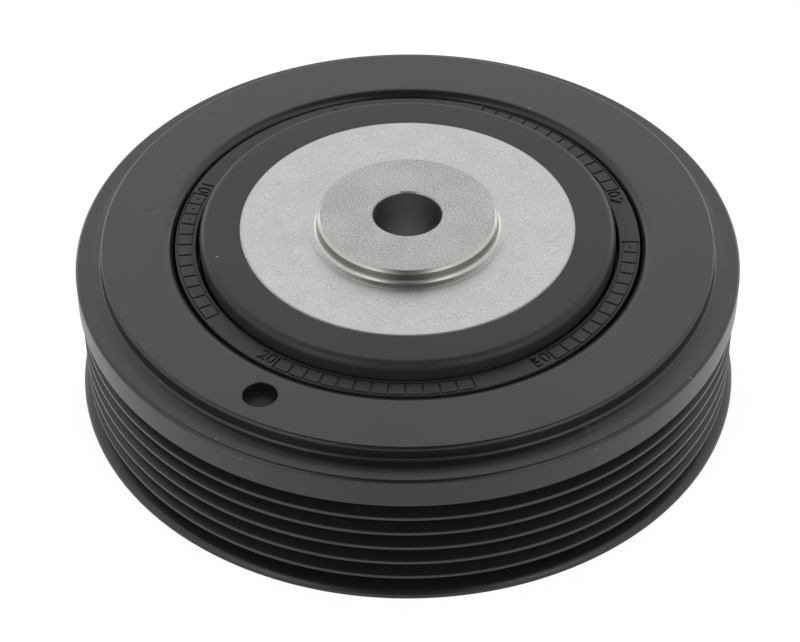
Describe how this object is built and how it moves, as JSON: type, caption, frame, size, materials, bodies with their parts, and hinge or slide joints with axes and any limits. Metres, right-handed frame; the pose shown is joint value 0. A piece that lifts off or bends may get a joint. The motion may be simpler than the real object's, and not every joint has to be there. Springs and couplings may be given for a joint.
{
  "type": "crankshaft pulley",
  "caption": "Poly-V crankshaft pulley with a rubber-bonded torsional damper, a steel hub with a central bolt bore, and a rolled sheet belt rim over an inertia ring.",
  "frame": {"origin": "centre of the belt rim's rear edge, the plane that the pulley stands on", "axes": "+Z along the crank axis, towards the bolt side; +X to the right and +Y away from the camera in the picture"},
  "size_m": [0.1224, 0.1224, 0.0355],
  "materials": {
    "machined_steel": "fine turned and blasted steel",
    "black_rubber": "matt moulded rubber",
    "dark_steel": "black phosphated steel",
    "black_paint": "satin black dip paint on sheet steel",
    "grey_iron": "turned grey iron under black dip paint"
  },
  "bodies": {
    "root": {"hub": "machined_steel", "damper_rubber": "black_rubber", "outer_sleeve": "dark_steel", "belt_rim": "black_paint", "inertia_ring": "grey_iron"}
  },
  "joints": []
}
